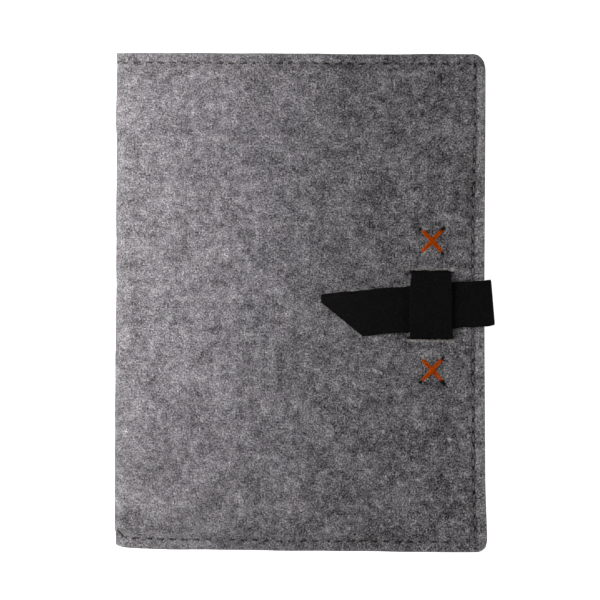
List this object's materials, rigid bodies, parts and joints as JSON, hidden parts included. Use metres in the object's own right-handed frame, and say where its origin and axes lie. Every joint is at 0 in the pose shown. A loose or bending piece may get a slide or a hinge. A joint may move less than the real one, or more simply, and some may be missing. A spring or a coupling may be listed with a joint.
{
  "type": "tablet case",
  "caption": "Book-style felt tablet case with a soft spine, a stepped holder inside, and a black strap that closes it round the fore-edge through a loop beside orange cross-stitches.",
  "frame": {"origin": "middle of the flat back face, on the surface that the closed case lies on", "axes": "+X from the spine to the fore-edge, +Y from tail to head, +Z from the back face to the front face"},
  "size_m": [0.1982, 0.26, 0.0264],
  "materials": {
    "felt_grey": "mottled grey wool felt, matt, fibrous",
    "felt_lining": "thin grey wool felt, matt",
    "board_grey": "stiffening board, matt",
    "strap_black": "dense black felt, matt, fuzzy cut edge",
    "thread_taupe": "twisted sewing thread",
    "thread_orange": "thick waxed orange thread"
  },
  "bodies": {
    "back_cover": {"back_outer_felt": "felt_grey", "back_board": "board_grey", "back_lining": "felt_lining", "tablet_holder": "felt_lining", "back_seam_thread": "thread_taupe", "back_bobbin_thread": "thread_taupe", "strap_anchor": "strap_black", "anchor_cross_stitch": "thread_orange"},
    "spine": {"spine_outer_felt": "felt_grey", "spine_lining": "felt_lining", "spine_seam_thread": "thread_taupe", "spine_bobbin_thread": "thread_taupe"},
    "front_cover": {"front_outer_felt": "felt_grey", "front_board": "board_grey", "front_lining": "felt_lining", "document_pocket": "felt_lining", "front_seam_thread": "thread_taupe", "front_bobbin_thread": "thread_taupe", "strap_loop": "strap_black", "upper_cross_stitch": "thread_orange", "lower_cross_stitch": "thread_orange"},
    "strap_bend": {"strap_bend": "strap_black"},
    "strap_tongue": {"strap_tongue": "strap_black"}
  },
  "joints": [
    {"name": "spine_fold", "type": "hinge", "parent": "back_cover", "child": "spine", "pos_m": [-0.09416, 0, 0.00234], "axis": [0, -1, 0], "range_deg": [0, 90]},
    {"name": "cover_fold", "type": "hinge", "parent": "spine", "child": "front_cover", "pos_m": [-0.09416, 0, 0.02056], "axis": [0, -1, 0], "range_deg": [0, 90]},
    {"name": "strap_lower_fold", "type": "hinge", "parent": "back_cover", "child": "strap_bend", "pos_m": [0.09981, -0.00074, 0.00368], "axis": [-0.0837, 0.9965, 0], "range_deg": [0, 90], "deforming": ["strap_bend"]},
    {"name": "strap_upper_fold", "type": "hinge", "parent": "strap_bend", "child": "strap_tongue", "pos_m": [0.09981, -0.00074, 0.02377], "axis": [-0.0837, 0.9965, 0], "range_deg": [0, 90], "deforming": ["strap_tongue"]}
  ]
}
